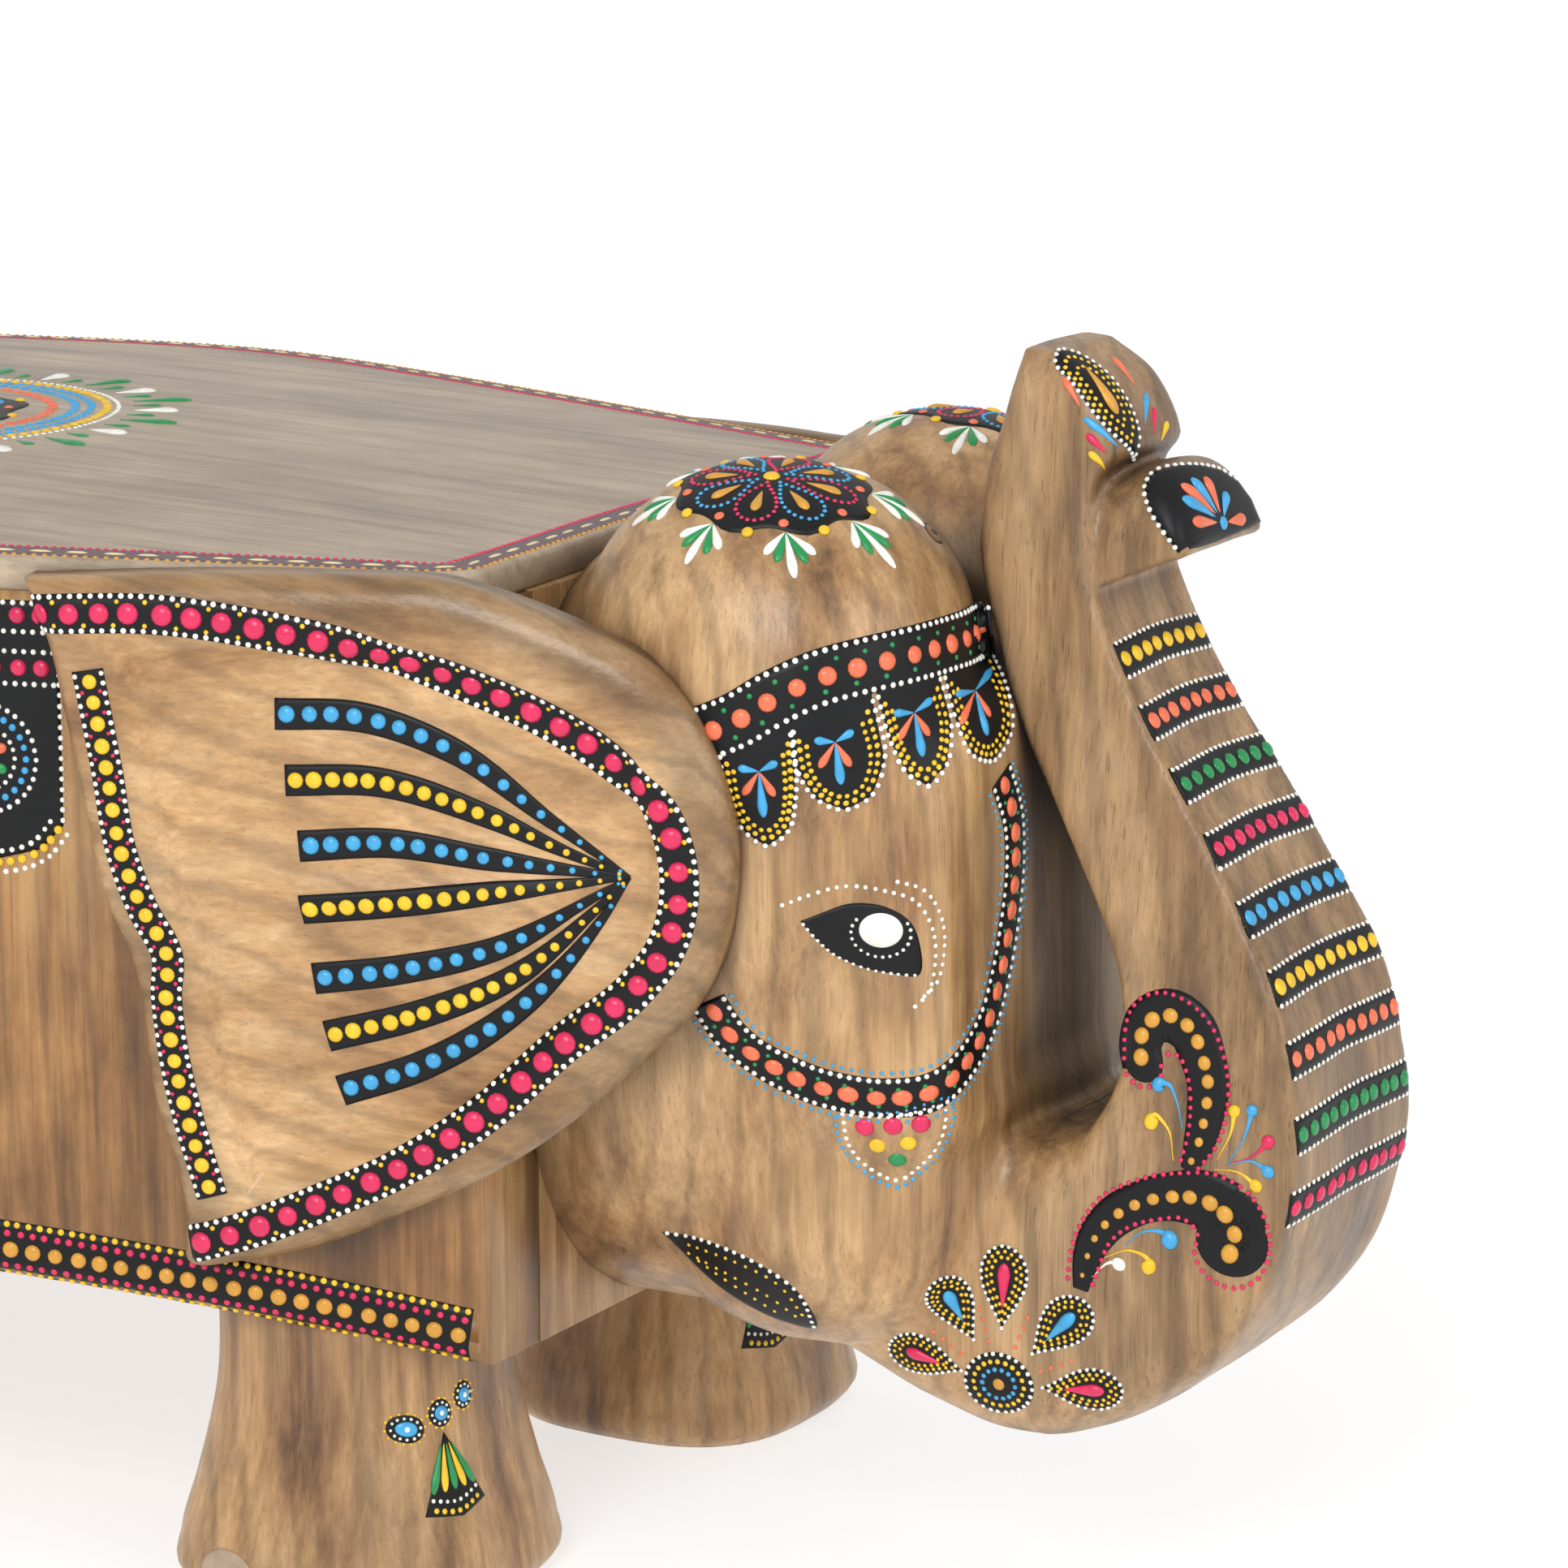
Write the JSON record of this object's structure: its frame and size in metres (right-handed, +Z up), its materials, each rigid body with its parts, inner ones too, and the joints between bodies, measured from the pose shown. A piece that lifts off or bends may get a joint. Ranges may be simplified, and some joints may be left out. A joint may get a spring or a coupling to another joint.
{
  "type": "elephant bench",
  "caption": "Low carved wooden bench shaped as an elephant: a bowed seat slab on a hollow body with short legs, flat ears, a domed head and an upturned trunk.",
  "frame": {"origin": "on the floor, under the middle of the whole length and width", "axes": "+X towards the head and trunk, +Y to the elephant's left, +Z up"},
  "size_m": [1.1842, 0.558, 0.515],
  "materials": {
    "mango_wood": "carved mango wood, hand rubbed wax, satin",
    "seat_wood": "greyish brown mango wood, flat sanded, satin",
    "ear_wood": "lighter mango wood with long grain, satin",
    "dowel_wood": "plain hardwood dowel",
    "paint_black": "slate black paint, satin",
    "paint_pink": "raised pink paint, gloss",
    "paint_yellow": "raised yellow paint, gloss",
    "paint_gold": "raised ochre paint, gloss",
    "paint_blue": "raised light blue paint, gloss",
    "paint_green": "raised green paint, gloss",
    "paint_coral": "raised coral paint, gloss",
    "paint_white": "raised white paint, gloss"
  },
  "bodies": {
    "root": {"belly_board": "mango_wood", "chest_board": "mango_wood", "front_left_inner_post": "mango_wood", "front_left_leg": "mango_wood", "front_left_leg_dowel": "dowel_wood", "front_right_inner_post": "mango_wood", "front_right_leg": "mango_wood", "front_right_leg_dowel": "dowel_wood", "head_block": "mango_wood", "left_ear": "ear_wood", "left_ear_dowels": "dowel_wood", "left_flank_front_stave": "mango_wood", "left_flank_middle_stave": "mango_wood", "left_flank_rear_stave": "mango_wood", "left_forehead_plug": "dowel_wood", "left_seat_dowels": "dowel_wood", "neck_block": "mango_wood", "neck_dowels": "dowel_wood", "rear_left_inner_post": "mango_wood", "rear_left_leg": "mango_wood", "rear_left_leg_dowel": "dowel_wood", "rear_right_inner_post": "mango_wood", "rear_right_leg": "mango_wood", "rear_right_leg_dowel": "dowel_wood", "right_ear": "ear_wood", "right_ear_dowels": "dowel_wood", "right_flank_front_stave": "mango_wood", "right_flank_middle_stave": "mango_wood", "right_flank_rear_stave": "mango_wood", "right_forehead_plug": "dowel_wood", "right_seat_dowels": "dowel_wood", "rump_block": "mango_wood", "rump_board": "mango_wood", "rump_dowels": "dowel_wood", "seat_top": "seat_wood", "tail": "mango_wood", "trunk_block": "mango_wood", "trunk_dowels": "dowel_wood"}
  },
  "joints": []
}
